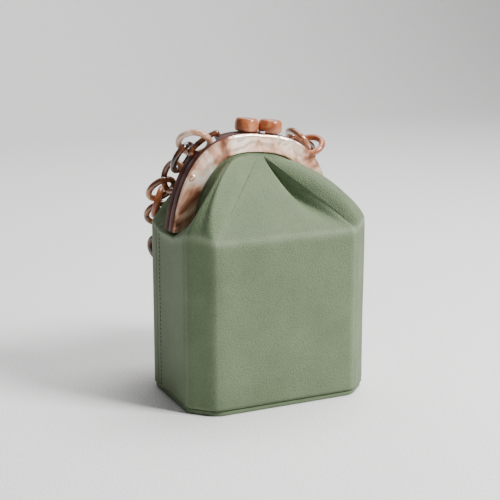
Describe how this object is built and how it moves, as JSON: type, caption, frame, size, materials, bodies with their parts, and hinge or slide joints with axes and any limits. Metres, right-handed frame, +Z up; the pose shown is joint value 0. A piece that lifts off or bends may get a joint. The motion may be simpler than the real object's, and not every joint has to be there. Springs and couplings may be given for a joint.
{
  "type": "box bag with a kiss-lock frame and a link chain",
  "caption": "Green leather box bag gathered into an arched pearl kiss-lock frame, with a handle chain of oval links.",
  "frame": {"origin": "middle of the flat base, on the surface that the bag stands on", "axes": "+Z up; the front panel faces -Y, and the chain hangs behind, on +Y; X across the bag"},
  "size_m": [0.1632, 0.1406, 0.2269],
  "materials": {
    "leather": "sage green grained leather, matt",
    "pearl": "rose gold pearl acrylic, polished",
    "amber": "marbled amber acrylic, polished",
    "tortoise": "tortoiseshell acrylic, polished",
    "metal": "bright silver metal"
  },
  "bodies": {
    "root": {"front_panel": "leather", "back_panel": "leather", "base_panel": "leather", "frame_front": "pearl", "frame_back": "pearl", "rivet_left": "pearl", "rivet_right": "pearl", "clasp_knob_left": "amber", "clasp_knob_right": "amber", "clasp_catch": "metal", "hinge_left": "metal", "hinge_right": "metal", "chain_ear_left": "tortoise", "chain_ear_right": "tortoise", "chain_link_01": "tortoise", "chain_link_02": "tortoise", "chain_link_03": "tortoise", "chain_link_04": "tortoise", "chain_link_05": "tortoise", "chain_link_06": "tortoise", "chain_link_07": "tortoise", "chain_link_08": "tortoise", "chain_link_09": "tortoise", "chain_link_10": "tortoise", "chain_link_11": "tortoise", "chain_link_12": "tortoise", "chain_link_13": "tortoise", "chain_link_14": "tortoise", "chain_link_15": "tortoise", "chain_link_16": "tortoise", "chain_link_17": "tortoise", "chain_link_18": "tortoise", "chain_link_19": "tortoise", "chain_link_20": "tortoise", "chain_link_21": "tortoise", "chain_link_22": "tortoise", "chain_link_23": "tortoise", "chain_link_24": "tortoise", "chain_link_25": "tortoise", "chain_link_26": "tortoise"}
  },
  "joints": []
}
